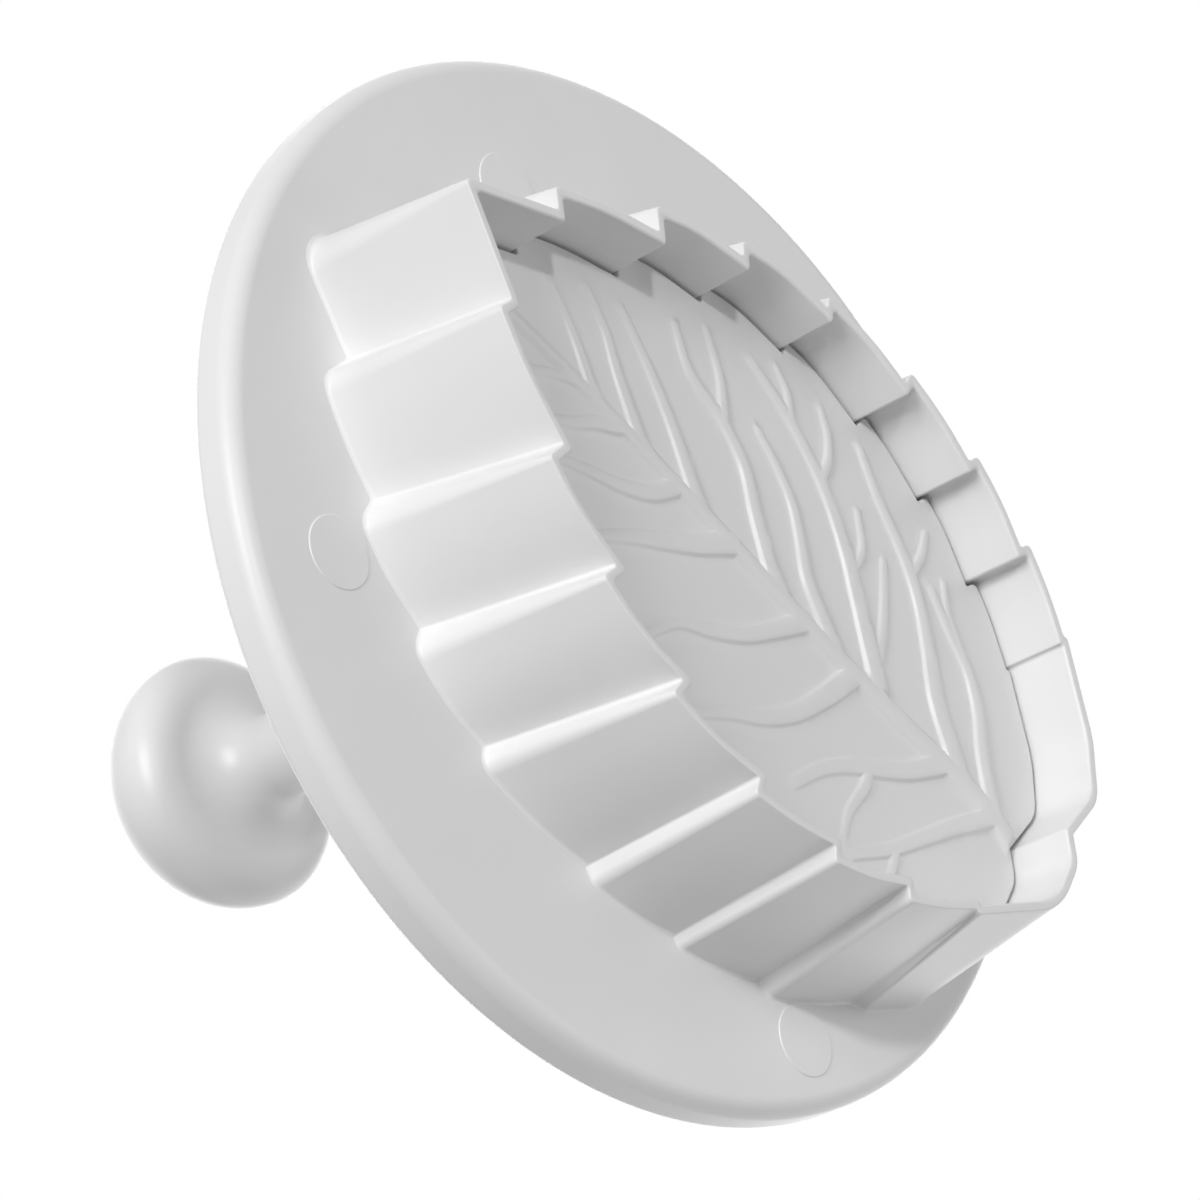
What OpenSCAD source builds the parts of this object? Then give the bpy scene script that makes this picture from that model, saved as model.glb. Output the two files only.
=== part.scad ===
// Plunger cutter: a serrated leaf cutter with a veined plate inside it. The knob presses the
// plate down to print the veins and push the cut leaf out, and a spring brings it back.
// The cutting edge lies on z = 0, the knob is at the top, and the plunger axis is the Z axis.
// Millimetres.

/* [Leaf] */
// Length of the leaf at the cutting edge, tip to base
leaf_len = 80; // [70:0.5:82]
// Width of the leaf at the cutting edge, over its teeth
leaf_w = 53; // [44:0.5:56]
// How far the leaf's midrib stands to the +X side of the plunger axis
leaf_shift = 4; // [0:0.5:6]
// Thickness of the wall at the cutting edge
edge_t = 0.85; // [0.6:0.05:1.2]
// Draft of the wall's outside towards the flange, as a share of the full spread
wall_draft = 1; // [0.6:0.05:1]
// Rounding of the teeth at the cutting edge
tooth_r = 0.5; // [0.3:0.1:1]

/* [Flange] */
// Diameter of the round flange
flange_d = 96; // [94:1:110]
// Height of the flange's front face above the cutting edge
flange_z = 17.8; // [14:0.1:22]
// Thickness of the flange
flange_t = 1.8; // [1.2:0.1:2.5]
// Height of the flange's turned-back rim, over the front face
rim_h = 4.35; // [3:0.05:6]
// Rounding between the flange's front face and its rim
rim_r = 1.6; // [0.8:0.1:1.6]

/* [Plate] */
// Depth of the plate's face inside the cutting edge
recess = 6; // [4:0.1:8]
// Thickness of the plate
plate_t = 2; // [1.4:0.1:3]
// Gap all round between the plate and the leaf's wall
plate_gap = 0.3; // [0.2:0.05:0.5]
// Height of a vein over the plate where it leaves the midrib
vein_h = 0.4; // [0.3:0.05:0.7]
// Width of the veins and the midrib, as a share of the full width
vein_w = 1; // [0.6:0.05:1.1]
// Diameter of the shaft moulded on the plate's back
shaft_d = 5; // [4:0.5:5]

/* [Knob and spring] */
// Diameter of the knob's head
knob_d = 24; // [20:0.5:30]
// Height of the whole cutter, cutting edge to the top of the knob
total_h = 81; // [78:0.5:90]
// Diameter of the knob's neck
neck_d = 8; // [7:0.5:9]
// Diameter of the spring's wire
wire_d = 0.8; // [0.6:0.05:0.8]
// Curls in the spring
spring_turns = 14; // [8:1:14]
// Length of the spring as it is fitted
spring_len = 19; // [19:0.5:22]

/* [Hidden] */
// Stations of the teeth: place along the leaf from base to tip as a share of its length, depth
// of the notch above the tooth, slope of the short face between the two, rounding at the flange,
// and how far the corner of the long side's swell stands out
TEETH = [
    [0.910, 1.8, 23, 2.2, 0.55],
    [0.790, 2.3, 19, 2.2, 0.7],
    [0.680, 2.1, 22, 2.2, 0.8],
    [0.555, 2.0, 14, 1.8, 0.7],
    [0.420, 1.7, -7, 1.5, 0.45],
    [0.300, 1.5, -24, 1, 0.5],
    [0.195, 1.4, -32, 1, 0.35],
    [0.105, 0.5, -60, 1, 0]
];
// Full spread of the wall's outside at the flange, outwards and towards the tip, for each
// tooth's notch and for the tooth: on the leaf's +X side and, leaning out more, on its -X side
RIGHT_SPREAD = [
    [[-1.2, 1.7], [0.9, 2.5]],
    [[1.0, 3.9], [1.5, 3.3]],
    [[2.0, 3.8], [2.3, 2.8]],
    [[2.8, 3.8], [2.6, 2.8]],
    [[2.6, 0.6], [1.9, -0.5]],
    [[2.0, -0.6], [1.2, -1.0]],
    [[1.5, -2.0], [0.7, -2.3]],
    [[-0.4, -4.1], [-1.2, -5.5]]
];
LEFT_SPREAD = [
    [[1.1, 2.2], [1.8, 3.4]],
    [[1.7, 4.1], [1.8, 3.9]],
    [[2.3, 4.0], [2.6, 3.4]],
    [[2.8, 3.8], [2.6, 2.8]],
    [[2.6, 0.6], [1.9, -0.5]],
    [[2.0, -0.6], [1.2, -1.0]],
    [[1.5, -2.0], [0.7, -2.3]],
    [[0.6, -4.3], [-1.2, -5.5]]
];
// Shifts of the first notches and teeth at the edge that only the -X side has, measured as if it
// were mirrored to +X
LEFT_EDGE = [
    [[0, -0.4], [0.2, 0.1]],
    [[0.1, -0.2], [0.1, 0.35]],
    [[0.6, 0.2], [0.2, 0.15]],
    [[0.6, 0.15], [0.1, 0.1]]
];
tip_spread = [-1.9, 4];
tip_base_r = 3.4;

// The leaf's base from its +X side round to its -X side, with two lobes and the stem's notch
// between them: corner as place and height over the leaf's lowest line, rounding, and spread
BASE = [
    [[9, 0.2], 10, [1.4, -3.3]],
    [[3.4, -0.2], 3, [0.2, -3.3]],
    [[1, 1.35], 0.4, [0, -3.2]],
    [[-4.6, -0.25], 3.5, [-0.2, -3.3]],
    [[-10, 2.3], 10, [-1.4, -3.2]]
];
widest_at = 0.42;
middle_y = 0.7;
tip_y = middle_y + leaf_len / 2;
tip_point = [-0.3, tip_y + 0.6];
base_y = tip_y - leaf_len;
widest_y = base_y + widest_at * leaf_len;

// Rounding of the notches and of the swells, which is as large as their hold allows; points of
// each kind of arc; and the share of its shorter side that an arc may take
notch_r = 0.3;
swell_r = 400;
notch_steps = 4;
tooth_steps = 5;
swell_steps = 4;
lobe_steps = 7;
tooth_hold = 0.7;
notch_hold = 0.25;
swell_hold = 0.6;
even_hold = 0.48;

// The wall is sunk this far into the flange, so that the two are one moulding
sink = 0.4;

// Height of the plunger's stops, clearances and the guide collar
shaft_gap = 0.05;
stop_gap = 0.1;
skirt_gap = 0.3;
skirt_t = 1.2;
plate_z = recess;
boss_d = 10;
web_t = 1.2;
web_h = 4.5;
shaft_top_z = 68;
collar_d = 11;
collar_top_z = 31;
collar_fillet = 2;
collar_top_r = 0.4;
rim_t = 1.8;
rim_inner_r = 0.6;
seat_depth = 2;
seat_d = 8.2;
gusset_t = 1.4;
gusset_r = 15;
gusset_h = 6;
pin_mark_d = 6.5;
pin_mark_h = 0.1;
PIN_MARKS = [[25.9, 27.8], [-21.5, 28.4], [27.7, -31.4], [-21.5, -31.4]];

// Spring between the seat in the collar and the end of the knob's neck
spring_d = 6.6;
seat_z = collar_top_z - seat_depth;
neck_z = seat_z + spring_len;
spring_rings = 8;
spring_sides = 6;
spring_end_gap = 0.02;

// Head of the knob: the widest circle, the dome above it and the hollow under it
dome_h = 8.7;
head_z = total_h - dome_h;
under_h = 3.4;
throat_r = 4.4;

// Midrib and veins of a leaf of this length and width, seen with the tip up: width at the start
// and at the end, share of the full height, and points of the line beside the midrib
VEINS_LEN = 80;
VEINS_W = 53;
MIDRIB = [1.2, 2.3, 1.1, [
    [0.5, 33.6], [0.1, 22], [0, 14], [0.1, 5], [0.3, -4], [0.4, -11],
    [0.3, -18], [0, -26], [-0.1, -31], [0.3, -34.5], [0.8, -36.4]
]];
LEFT_VEINS = [
    [1.4, 0.8, 0.9, [[-0.4, 19.2], [-1.8, 20.8], [-3.5, 22.8], [-4.9, 24.8], [-6.2, 27]]],
    [1.6, 0.9, 0.9, [[-0.4, 13.1], [-1.9, 14.9], [-4.4, 17.8], [-7.2, 20.6], [-9.3, 23.9]]],
    [1.8, 0.9, 0.9, [[-0.4, 5.7], [-1.8, 7.4], [-5.1, 11.3], [-8, 15.4], [-10.6, 19.8]]],
    [2, 0.9, 1, [
        [-0.4, -4.6], [-1.5, -3.1], [-4.7, 0], [-8.2, 3],
        [-10.3, 6.9], [-11.5, 11.4], [-14.5, 14.6]
    ]],
    [1.3, 0.8, 0.8, [[-10.1, 6.4], [-13.9, 8.4], [-17.1, 11.5]]],
    [1.9, 0.8, 1, [
        [-0.4, -11.8], [-1.8, -9.9], [-3.9, -7.1], [-6.7, -5.1],
        [-9.4, -2.9], [-11.4, 0], [-12.9, 3.1]
    ]],
    [2.2, 1, 1, [
        [-0.2, -18.3], [-1.5, -17.2], [-6.1, -13.3], [-10.6, -9.4],
        [-14.4, -4.8], [-17.1, 0.6], [-18.8, 6.4]
    ]],
    [1.1, 0.7, 0.7, [[-17.2, 0.4], [-19.3, 1.6], [-20.7, 3.6]]],
    [1.2, 0.8, 0.8, [[-14.6, -4.8], [-17, -4.8], [-19.3, -3.9], [-21.1, -2.3]]],
    [2.3, 1, 1, [
        [-0.4, -29.1], [-2, -27.4], [-5.2, -24], [-9.3, -21.4],
        [-13.1, -18.6], [-16.1, -15], [-18.6, -11], [-21.4, -7.5]
    ]],
    [1.2, 0.8, 0.8, [[-8.4, -10.9], [-11.9, -11.4], [-15.1, -9.6]]],
    [1.5, 0.9, 0.8, [[-0.2, -17.1], [-1.3, -16.9], [-5.3, -16.5], [-9.3, -15.4], [-13.1, -13.9]]],
    [1.2, 0.8, 0.7, [[-14.4, -17], [-17.3, -17.5], [-20.1, -17.1]]],
    [2, 1, 1, [
        [-0.1, -33.8], [-1.5, -32.8], [-4.7, -30.6], [-8.3, -28.7],
        [-11.2, -26.2], [-13.1, -22.9], [-15.3, -19.6]
    ]],
    [1.1, 0.8, 0.7, [[-12.3, -24.6], [-14.5, -22.3], [-17.2, -20.7]]]
];
RIGHT_VEINS = [
    [1.2, 0.8, 0.8, [[0, 19.4], [0.4, 21.4], [1.6, 23.3], [3.2, 25.3]]],
    [1.6, 0.9, 0.9, [[0.1, 15.5], [0.9, 16.4], [2.1, 17.9], [3.9, 19.6], [5.5, 21.5]]],
    [1.8, 0.9, 0.9, [[0.1, 8.4], [0.9, 8.8], [3.4, 10.6], [5.4, 13.5], [6.9, 16.7], [8.5, 19.8]]],
    [2.3, 1, 1, [[0.1, 1.2], [0.9, 2], [3.4, 4.3], [6.1, 7.3], [8.7, 10.4], [11.5, 13.3]]],
    [1.9, 1, 1, [
        [0.3, -8.5], [0.9, -8], [4, -5.7], [7.2, -3.1], [9.8, 0], [12.1, 3.4], [15.6, 5.6]
    ]],
    [2.2, 1.1, 1, [
        [0.3, -14.9], [1.5, -14.5], [5.4, -12.8], [9.3, -10.7],
        [12.5, -8], [15.2, -4.6], [18.1, -1.6]
    ]],
    [2, 1.2, 1, [
        [0.1, -26.9], [0.9, -26.2], [4, -23.6], [6.6, -20.7], [9.1, -17.6], [12, -15], [15.5, -13]
    ]],
    [1.9, 1.1, 1, [[0, -33.8], [0.6, -33.4], [4.5, -30.3], [8.6, -27.4], [12.8, -24.4], [16.5, -21]]],
    [1.3, 0.8, 0.8, [[7.8, -19.6], [9.4, -19.9], [11.4, -19.5], [13.4, -19.2], [15.5, -19.5]]],
    [1.1, 0.8, 0.7, [[12.4, -25], [14.2, -25.4], [15.8, -25.2]]]
];
vein_flank = 0.3;
vein_foot = 0.3;
vein_sinks = 0.5;

function unit(v) = v / norm(v);
function left_of(v) = [-v[1], v[0]];

// Half width of the leaf at height y, measured over the teeth
function half_width(y) = y > widest_y
    ? leaf_w / 2 * (1 - pow((y - widest_y) / (tip_y - widest_y), 2.05))
    : leaf_w / 2 * sqrt(1 - pow((widest_y - y) / (widest_y - base_y - 0.6), 2));

function tooth_point(t) = let (y = base_y + t[0] * leaf_len) [half_width(y), y];
function notch_point(t) = tooth_point(t) - t[1] * [cos(t[2]), sin(t[2])];

// Shift of a corner at a level: part 0 is the notch of a step and part 1 its tooth
function shift_at(i, part, side, level) =
    (1 - level) * (i < len(side[0]) ? side[0][i][part] : [0, 0]) + level * side[1][i][part];
function notch_at(i, side, level) = notch_point(TEETH[i]) + shift_at(i, 0, side, level);
function tooth_at(i, side, level) = tooth_point(TEETH[i]) + shift_at(i, 1, side, level);

// Corners of half the leaf from the tip to the stem, as point, rounding, points of the arc and
// hold. The level is 0 at the cutting edge and 1 where the wall has spread in full.
function half_corners(side, level) = [
    for (i = [0 : len(TEETH) - 1])
        let (
            t = TEETH[i],
            tooth = tooth_at(i, side, level),
            next = notch_at(min(i + 1, len(TEETH) - 1), side, level)
        )
        each [
            [notch_at(i, side, level), notch_r, notch_steps, notch_hold],
            [tooth, tooth_r + level * (t[3] - tooth_r), tooth_steps, tooth_hold],
            if (t[4] > 0) [
                (tooth + next) / 2 + t[4] * left_of(unit(next - tooth)),
                swell_r,
                swell_steps,
                swell_hold
            ]
        ]
];
function mirrored(c) = [
    for (i = [len(c) - 1 : -1 : 0]) [[-c[i][0][0], c[i][0][1]], c[i][1], c[i][2], c[i][3]]
];

// All corners of the leaf at one level, clockwise from its tip
function leaf_corners(level) = concat(
    [[
        tip_point + level * tip_spread,
        tooth_r + level * (tip_base_r - tooth_r),
        tooth_steps,
        even_hold
    ]],
    half_corners([[], RIGHT_SPREAD], level),
    [for (b = BASE) [[b[0][0], base_y + b[0][1]] + level * b[2], b[1], lobe_steps, even_hold]],
    mirrored(half_corners([LEFT_EDGE, LEFT_SPREAD], level))
);

// The corners moved inwards by d, so that every side keeps its direction
function inset(c, d) = [
    for (i = [0 : len(c) - 1])
        let (
            n = len(c),
            before = left_of(unit(c[i][0] - c[(i + n - 1) % n][0])),
            after = left_of(unit(c[(i + 1) % n][0] - c[i][0]))
        )
        [c[i][0] - d * (before + after) / (1 + before * after), c[i][1], c[i][2], c[i][3]]
];

// Points of the outline with each corner rounded, and never by more than its sides hold
function rounded(c) = [
    for (i = [0 : len(c) - 1])
        let (
            n = len(c),
            p = c[i][0],
            to_a = c[(i + n - 1) % n][0] - p,
            to_b = c[(i + 1) % n][0] - p,
            a = unit(to_a),
            b = unit(to_b),
            half = acos(a * b) / 2,
            r = min(c[i][1], c[i][3] * min(norm(to_a), norm(to_b)) * tan(half)),
            inward = unit(a + b),
            middle = p + inward * r / sin(half),
            side = sign(a[0] * b[1] - a[1] * b[0]),
            steps = c[i][2]
        )
        for (k = [0 : steps - 1])
            let (turn = side * (0.5 - k / (steps - 1)) * (180 - 2 * half))
            middle - r * [
                inward[0] * cos(turn) - inward[1] * sin(turn),
                inward[0] * sin(turn) + inward[1] * cos(turn)
            ]
];

edge_outer = rounded(leaf_corners(0));
base_outer = rounded(leaf_corners(wall_draft));
edge_inner = rounded(inset(leaf_corners(0), edge_t));
plate_outline = rounded(inset(leaf_corners(0), edge_t + plate_gap));
skirt_inside = rounded(inset(leaf_corners(0), edge_t + plate_gap + skirt_t));

function at_height(outline, z) = [for (p = outline) [p[0], p[1], z]];

// The leaf's wall: its outside flares from the edge to the flange, and its inside is straight
module leaf_wall() {
    n = len(edge_outer);
    top_z = flange_z + sink;
    points = concat(
        at_height(edge_outer, 0),
        at_height(base_outer, top_z),
        at_height(edge_inner, top_z),
        at_height(edge_inner, 0)
    );
    faces = [
        for (ring = [0 : 3], i = [0 : n - 1])
            let (
                j = (i + 1) % n,
                a = ring * n,
                b = (ring + 1) % 4 * n
            )
            each [[a + i, b + j, b + i], [a + i, a + j, b + j]]
    ];
    translate([leaf_shift, 0, 0]) polyhedron(points, faces, convexity = 10);
}

// Points of an arc about [x, y], from one angle to the other
function arc(x, y, r, from, to, steps = 6) = [
    for (i = [0 : steps])
        let (a = from + (to - from) * i / steps)
        [x + r * cos(a), y + r * sin(a)]
];

// Section of the flange, its rim and the guide collar, turned about the plunger axis
module flange_section() {
    r = flange_d / 2;
    back_z = flange_z + flange_t;
    rim_end_z = flange_z + rim_h - rim_t / 2;
    foot_r = collar_d / 2 + collar_fillet;
    polygon(concat(
        [[0, flange_z]],
        arc(r - rim_r, flange_z + rim_r, rim_r, -90, 0),
        arc(r - rim_t / 2, rim_end_z, rim_t / 2, 0, 180, 8),
        arc(r - rim_t - rim_inner_r, back_z + rim_inner_r, rim_inner_r, 0, -90, 4),
        arc(foot_r, back_z + collar_fillet, collar_fillet, 270, 180),
        arc(collar_d / 2 - collar_top_r, collar_top_z - collar_top_r, collar_top_r, 0, 90, 3),
        [[0, collar_top_z]]
    ));
}

// One of the four webs that brace the collar on the flange's back
module gusset() {
    rotate([90, 0, 0])
        translate([0, 0, -gusset_t / 2])
            linear_extrude(gusset_t)
                polygon([
                    [collar_d / 2 - 1, flange_z + 1],
                    [gusset_r, flange_z + 1],
                    [gusset_r, flange_z + flange_t + 0.6],
                    [collar_d / 2, flange_z + flange_t + gusset_h],
                    [collar_d / 2 - 1, flange_z + flange_t + gusset_h]
                ]);
}

// One moulding: cutting wall, flange with its rim, and the collar that guides the shaft
module cutter_body() {
    color("white")
    difference() {
        union() {
            rotate_extrude($fn = 180) flange_section();
            for (a = [0 : 90 : 270]) rotate([0, 0, a]) gusset();
            for (p = PIN_MARKS)
                translate([p[0], p[1], flange_z - pin_mark_h])
                    cylinder(d = pin_mark_d, h = pin_mark_h + flange_t / 2, $fn = 64);
            leaf_wall();
        }
        translate([0, 0, flange_z - 1])
            cylinder(d = shaft_d + 2 * shaft_gap, h = collar_top_z - flange_z + 2, $fn = 96);
        translate([0, 0, seat_z]) cylinder(d = seat_d, h = seat_depth + 1, $fn = 96);
    }
}

// A vein's line grows and shrinks with the leaf
function vein_line(v) = [
    for (p = v[3])
        [p[0] * leaf_w / VEINS_W, middle_y + (p[1] - middle_y) * leaf_len / VEINS_LEN]
];

// A vein is a flat-topped ridge with sloping sides, which narrows and sinks towards its end
module vein(v, sinks = vein_sinks) {
    line = vein_line(v);
    n = len(line);
    points = [
        for (i = [0 : n - 1])
            let (
                t = i / (n - 1),
                p = line[i],
                side = left_of(unit(line[min(n - 1, i + 1)] - line[max(0, i - 1)])),
                h = vein_h * v[2] * (1 - sinks * t),
                w = vein_w * (v[0] + (v[1] - v[0]) * t) / 2,
                top = w - vein_flank / 2,
                foot = w + vein_flank / 2 + vein_foot * vein_flank / h
            )
            for (x = [[-foot, vein_foot], [-top, -h], [top, -h], [foot, vein_foot]])
                [p[0] + x[0] * side[0], p[1] + x[0] * side[1], plate_z + x[1]]
    ];
    last = 4 * (n - 1);
    faces = concat(
        [[0, 1, 2], [0, 2, 3], [last, last + 2, last + 1], [last, last + 3, last + 2]],
        [
            for (i = [0 : n - 2], k = [0 : 3])
                let (
                    a = 4 * i + k,
                    b = 4 * i + (k + 1) % 4
                )
                each [[a, b + 4, b], [a, a + 4, b + 4]]
        ]
    );
    polyhedron(points, faces, convexity = 4);
}

// Stiffening webs behind the plate: one along the midrib and three across it
module plate_webs() {
    z = plate_z + plate_t - 0.1;
    translate([-web_t / 2, base_y + 3, z]) cube([web_t, leaf_len - 12, web_h]);
    for (y = [-24, -9, 9])
        translate([3 - half_width(y), y - web_t / 2, z]) cube([2 * half_width(y) - 6, web_t, web_h]);
}

// One moulding: the veined plate with its skirt and webs, the boss and the shaft
module embossing_plate() {
    stop_z = flange_z - stop_gap;
    color("white") {
        translate([leaf_shift, 0, 0]) {
            translate([0, 0, plate_z]) linear_extrude(plate_t) polygon(plate_outline);
            translate([0, 0, plate_z + plate_t / 2])
                linear_extrude(flange_z - skirt_gap - plate_z - plate_t / 2)
                    difference() {
                        polygon(plate_outline);
                        polygon(skirt_inside);
                    }
            plate_webs();
            vein(MIDRIB, 0);
            for (v = LEFT_VEINS) vein(v);
            for (v = RIGHT_VEINS) vein(v);
        }
        translate([0, 0, plate_z + plate_t / 2])
            cylinder(d = boss_d, h = stop_z - plate_z - plate_t / 2, $fn = 72);
        translate([0, 0, plate_z + plate_t / 2])
            cylinder(d = shaft_d, h = shaft_top_z - plate_z - plate_t / 2, $fn = 72);
    }
}

// Steel wire wound to the right, as one unbroken tube
function wire_ring(i) =
    let (
        turn = 360 / spring_rings * i,
        pitch = (spring_len - wire_d - 2 * spring_end_gap) / spring_turns,
        out = [cos(turn), sin(turn), 0],
        along = unit([-sin(turn) * PI * spring_d, cos(turn) * PI * spring_d, pitch]),
        up = cross(out, along),
        middle = out * spring_d / 2
            + [0, 0, seat_z + spring_end_gap + wire_d / 2 + pitch * turn / 360]
    )
    [for (k = [0 : spring_sides - 1])
        let (a = 360 / spring_sides * k)
        middle + wire_d / 2 * (cos(a) * out + sin(a) * up)];

wire_rings = [for (i = [0 : spring_rings * spring_turns]) wire_ring(i)];
wire_gap = min([
    for (i = [0 : len(wire_rings) - 1], j = [i + 5 : min(i + 11, len(wire_rings) - 1)])
        if (j < len(wire_rings))
            for (p = wire_rings[i], q = wire_rings[j]) norm(p - q)
]);
echo(str("least gap between the curls of the spring, mm: ", wire_gap));

module return_spring() {
    rings = len(wire_rings);
    last = (rings - 1) * spring_sides;
    faces = concat(
        [for (k = [1 : spring_sides - 2]) [0, k, k + 1]],
        [for (k = [1 : spring_sides - 2]) [last, last + k + 1, last + k]],
        [
            for (i = [0 : rings - 2], k = [0 : spring_sides - 1])
                let (
                    a = i * spring_sides + k,
                    b = i * spring_sides + (k + 1) % spring_sides
                )
                each [[a, a + spring_sides, b + spring_sides], [a, b + spring_sides, b]]
        ]
    );
    color("silver")
        polyhedron([for (ring = wire_rings) each ring], faces, convexity = 10);
}

// Half section of the knob: the dome, the rounded edge, the hollow throat and the neck
module knob_section(steps = 24) {
    r = knob_d / 2;
    throat_x = neck_d / 2 + throat_r;
    polygon(concat(
        [for (i = [0 : steps])
            let (a = 90 - 90 * i / steps)
            [r * cos(a), head_z + dome_h * sin(a)]],
        [for (i = [1 : steps])
            let (a = 90 * i / steps)
            [throat_x + (r - throat_x) * cos(a), head_z - under_h * sin(a)]],
        arc(throat_x, head_z - under_h - throat_r, throat_r, 90, 180),
        [[neck_d / 2, neck_z], [0, neck_z]]
    ));
}

// Moulded knob with a hollow neck, pressed on the end of the shaft
module knob() {
    color("white")
    difference() {
        rotate_extrude($fn = 96) knob_section();
        translate([0, 0, neck_z - 1]) cylinder(d = shaft_d, h = shaft_top_z - neck_z + 1, $fn = 72);
    }
}

cutter_body();
embossing_plate();
return_spring();
knob();
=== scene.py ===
"""A plunger cutter for leaves of sugar paste: a white plastic cutter with a serrated wall, a veined
plate inside it, a return spring and a knob. Laid out in the order in which it is put together."""
import math

import bmesh
import bpy
import numpy as np
from mathutils import Matrix, Vector
from mathutils.geometry import delaunay_2d_cdt


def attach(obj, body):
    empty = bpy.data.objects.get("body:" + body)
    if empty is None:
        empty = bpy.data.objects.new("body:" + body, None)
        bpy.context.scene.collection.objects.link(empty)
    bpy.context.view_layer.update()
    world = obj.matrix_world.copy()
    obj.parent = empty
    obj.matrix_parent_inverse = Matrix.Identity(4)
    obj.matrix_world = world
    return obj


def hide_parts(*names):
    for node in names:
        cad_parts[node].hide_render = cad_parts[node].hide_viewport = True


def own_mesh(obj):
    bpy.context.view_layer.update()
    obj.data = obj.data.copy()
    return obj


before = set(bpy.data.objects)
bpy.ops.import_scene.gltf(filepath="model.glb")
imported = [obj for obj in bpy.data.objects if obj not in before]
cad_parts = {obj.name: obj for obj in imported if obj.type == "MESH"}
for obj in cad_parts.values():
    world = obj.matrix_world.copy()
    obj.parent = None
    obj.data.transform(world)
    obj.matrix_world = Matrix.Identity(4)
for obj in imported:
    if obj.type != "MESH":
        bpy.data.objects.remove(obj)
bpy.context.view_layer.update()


# The cutter is one injection moulding in white ABS: a thin wall that follows the edge of a leaf, a
# round flange with a turned-back rim, and behind it a collar that guides the plunger's shaft. The
# wall leans out towards the flange so that it leaves the tool, and its edge is left a little blunt.

# Sizes are in millimetres, and heights are counted from the cutting edge
MM = 0.001

# The leaf stands a little off the flange's middle: to one side, and towards its tip
LEAF_SHIFT = 4.0
LEAF_FORWARD = 0.7
LEAF_LENGTH = 80.0
LEAF_WIDTH = 53.0
EDGE_THICKNESS = 0.85
TOOTH_RADIUS = 0.5
NOTCH_RADIUS = 0.3
SOFT_NOTCH_RADIUS = 2.0
SWELL_RADIUS = 400.0

# The outline over the teeth: where the leaf is widest as a share of its length, the power of the
# curve towards the tip, and by how much the half ellipse towards the stem is shorter
WIDEST_PLACE = 0.42
TIP_CURVE = 2.05
STEM_MARGIN = 0.6
TIP_Y = LEAF_LENGTH / 2 + LEAF_FORWARD
STEM_Y = TIP_Y - LEAF_LENGTH
WIDEST_Y = STEM_Y + WIDEST_PLACE * LEAF_LENGTH

# Each tooth from the tip down: place along the leaf, depth of the notch above it, slope of its
# short face in degrees, its rounding at the flange, and the swell of the long side below it
TEETH = [
    (0.910, 1.8, 23, 2.2, 0.55),
    (0.790, 2.3, 19, 2.2, 0.7),
    (0.680, 2.1, 22, 2.2, 0.8),
    (0.555, 2.0, 14, 1.8, 0.7),
    (0.420, 1.7, -7, 1.5, 0.45),
    (0.300, 1.5, -24, 1.0, 0.5),
    (0.195, 1.4, -32, 1.0, 0.35),
    (0.105, 0.5, -60, 1.0, 0.0),
]
# How far each notch and each tooth has spread where the wall meets the flange
RIGHT_SPREAD = [
    ((-1.2, 1.7), (0.9, 2.5)),
    ((1.0, 3.9), (1.5, 3.3)),
    ((2.0, 3.8), (2.3, 2.8)),
    ((2.8, 3.8), (2.6, 2.8)),
    ((2.6, 0.6), (1.9, -0.5)),
    ((2.0, -0.6), (1.2, -1.0)),
    ((1.5, -2.0), (0.9, -2.9)),
    ((-0.4, -4.1), (-1.2, -5.5)),
]
# Shifts of the first notches and teeth at the edge that only the left side has
LEFT_EDGE = [
    ((0.0, -0.4), (0.2, 0.1)),
    ((0.1, -0.2), (0.1, 0.35)),
    ((0.6, 0.2), (0.2, 0.15)),
    ((0.6, 0.15), (0.1, 0.1)),
]
LEFT_SPREAD = [
    ((1.1, 2.2), (1.8, 3.4)),
    ((1.7, 4.1), (1.8, 3.9)),
    ((2.3, 4.0), (2.6, 3.4)),
    ((2.8, 3.8), (2.6, 2.8)),
    ((2.6, 0.6), (1.9, -0.5)),
    ((2.0, -0.6), (1.2, -1.0)),
    ((1.5, -2.0), (0.9, -2.9)),
    ((0.6, -4.3), (-1.2, -5.5)),
]
# The tip: its shift at the edge, its spread, and its rounding at the flange
TIP_AT = (-0.3, 0.6)
TIP_SPREAD = (-1.9, 4.0)
TIP_FLANGE_RADIUS = 3.4
# The two lobes at the stem: corner, rounding and spread
LOBES = [
    ((9.0, 0.2), 10.0, (1.4, -3.3)),
    ((3.4, -0.2), 3.0, (0.2, -3.3)),
    ((1.0, 1.35), 0.4, (0.0, -3.2)),
    ((-4.6, -0.25), 3.5, (-0.2, -3.3)),
    ((-10.0, 2.3), 10.0, (-1.4, -3.2)),
]
# Points in the arc of each kind of corner, and the share of its shorter side that it may take up.
# The last share is that of the tip and the lobes.
TOOTH_POINTS = 9
NOTCH_POINTS = 7
SWELL_POINTS = 9
TIP_POINTS = 13
LOBE_POINTS = 17
NOTCH_SHARE = 0.25
SOFT_NOTCH_SHARE = 0.45
TOOTH_SHARE = 0.7
SWELL_SHARE = 0.6
END_SHARE = 0.48


def half_width(y):
    """Half the leaf's width at height y, over its teeth."""
    if y > WIDEST_Y:
        return LEAF_WIDTH / 2 * (1 - ((y - WIDEST_Y) / (TIP_Y - WIDEST_Y)) ** TIP_CURVE)
    return LEAF_WIDTH / 2 * math.sqrt(1 - ((WIDEST_Y - y) / (WIDEST_Y - STEM_Y - STEM_MARGIN)) ** 2)


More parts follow.
